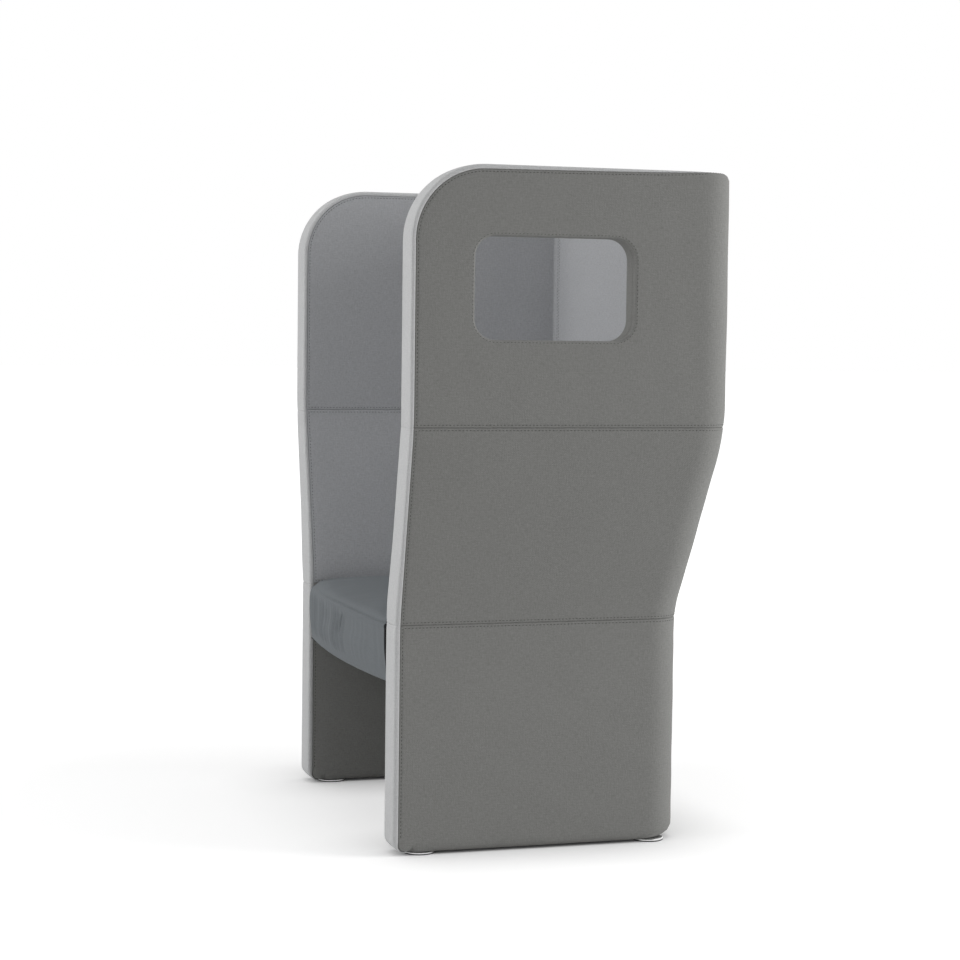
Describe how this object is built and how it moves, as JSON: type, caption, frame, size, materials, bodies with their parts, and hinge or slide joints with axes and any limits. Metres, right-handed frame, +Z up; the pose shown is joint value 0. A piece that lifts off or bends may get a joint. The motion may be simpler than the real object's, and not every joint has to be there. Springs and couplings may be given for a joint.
{
  "type": "acoustic high back lounge chair",
  "caption": "High back lounge chair with folded, padded wings and back that absorb sound, a window in the left wing, a bow-front seat and levelling glides.",
  "frame": {"origin": "floor level, under the middle of the chair's width and depth", "axes": "+Z up, +X to the sitter's left, the chair faces -Y"},
  "size_m": [0.95, 0.6711, 1.294],
  "materials": {
    "outer_fabric": "warm mid grey wool felt weave",
    "inner_fabric": "cool light grey wool felt weave",
    "band_fabric": "cool light grey wool felt weave over wadding",
    "seat_fabric": "blue grey fine weave",
    "foam": "cut upholstery foam",
    "plywood": "birch plywood, sanded",
    "liner_fabric": "black non-woven lining",
    "foot_plastic": "black nylon",
    "chrome": "polished",
    "zinc_steel": "zinc plated"
  },
  "bodies": {
    "chair": {"back_board_lower": "plywood", "back_board_middle": "plywood", "back_board_upper": "plywood", "back_inner_padding_lower": "foam", "back_inner_padding_middle": "foam", "back_inner_padding_upper": "foam", "back_outer_padding_lower": "foam", "back_outer_padding_middle": "foam", "back_outer_padding_upper": "foam", "base_liner": "liner_fabric", "glide_inserts": "zinc_steel", "inner_cover_lower": "outer_fabric", "inner_cover_middle": "inner_fabric", "inner_cover_upper": "inner_fabric", "left_board_lower": "plywood", "left_board_middle": "plywood", "left_board_upper": "plywood", "left_corner_post": "plywood", "left_edge_band_lower": "band_fabric", "left_edge_band_middle": "band_fabric", "left_edge_band_upper": "band_fabric", "left_inner_padding_lower": "foam", "left_inner_padding_middle": "foam", "left_inner_padding_upper": "foam", "left_outer_padding_lower": "foam", "left_outer_padding_middle": "foam", "left_outer_padding_upper": "foam", "outer_cover_lower": "outer_fabric", "outer_cover_middle": "outer_fabric", "outer_cover_upper": "outer_fabric", "right_board_lower": "plywood", "right_board_middle": "plywood", "right_board_upper": "plywood", "right_corner_post": "plywood", "right_edge_band_lower": "band_fabric", "right_edge_band_middle": "band_fabric", "right_edge_band_upper": "band_fabric", "right_inner_padding_lower": "foam", "right_inner_padding_middle": "foam", "right_inner_padding_upper": "foam", "right_outer_padding_lower": "foam", "right_outer_padding_middle": "foam", "right_outer_padding_upper": "foam", "seat_board": "plywood", "seat_bolts": "zinc_steel", "seat_cover": "seat_fabric", "seat_foam": "foam", "seat_liner": "liner_fabric", "seat_mount_blocks": "plywood", "seat_rails": "plywood", "tee_nuts": "zinc_steel", "window_lining": "outer_fabric"},
    "foot_front_left": {"glide_pad_front_left": "foot_plastic"},
    "screw_front_left": {"glide_stem_front_left": "chrome"},
    "foot_front_right": {"glide_pad_front_right": "foot_plastic"},
    "screw_front_right": {"glide_stem_front_right": "chrome"},
    "foot_rear_left": {"glide_pad_rear_left": "foot_plastic"},
    "screw_rear_left": {"glide_stem_rear_left": "chrome"},
    "foot_rear_right": {"glide_pad_rear_right": "foot_plastic"},
    "screw_rear_right": {"glide_stem_rear_right": "chrome"}
  },
  "joints": [
    {"name": "front_left_glide_travel", "type": "slide", "parent": "chair", "child": "foot_front_left", "axis": [0, 0, -1], "range_m": [0, 0.01]},
    {"name": "front_left_glide_turn", "type": "hinge", "parent": "foot_front_left", "child": "screw_front_left", "pos_m": [0.36, -0.2505, 0], "axis": [0, 0, -1], "range_deg": [0, 2880]},
    {"name": "front_right_glide_travel", "type": "slide", "parent": "chair", "child": "foot_front_right", "axis": [0, 0, -1], "range_m": [0, 0.01]},
    {"name": "front_right_glide_turn", "type": "hinge", "parent": "foot_front_right", "child": "screw_front_right", "pos_m": [-0.36, -0.2505, 0], "axis": [0, 0, -1], "range_deg": [0, 2880]},
    {"name": "rear_left_glide_travel", "type": "slide", "parent": "chair", "child": "foot_rear_left", "axis": [0, 0, -1], "range_m": [0, 0.01]},
    {"name": "rear_left_glide_turn", "type": "hinge", "parent": "foot_rear_left", "child": "screw_rear_left", "pos_m": [0.36, 0.2135, 0], "axis": [0, 0, -1], "range_deg": [0, 2880]},
    {"name": "rear_right_glide_travel", "type": "slide", "parent": "chair", "child": "foot_rear_right", "axis": [0, 0, -1], "range_m": [0, 0.01]},
    {"name": "rear_right_glide_turn", "type": "hinge", "parent": "foot_rear_right", "child": "screw_rear_right", "pos_m": [-0.36, 0.2135, 0], "axis": [0, 0, -1], "range_deg": [0, 2880]}
  ],
  "couplings": [
    {"joint": "front_left_glide_travel", "follows": "front_left_glide_turn", "m_per_rad": 0.00019894},
    {"joint": "front_right_glide_travel", "follows": "front_right_glide_turn", "m_per_rad": 0.00019894},
    {"joint": "rear_left_glide_travel", "follows": "rear_left_glide_turn", "m_per_rad": 0.00019894},
    {"joint": "rear_right_glide_travel", "follows": "rear_right_glide_turn", "m_per_rad": 0.00019894}
  ]
}
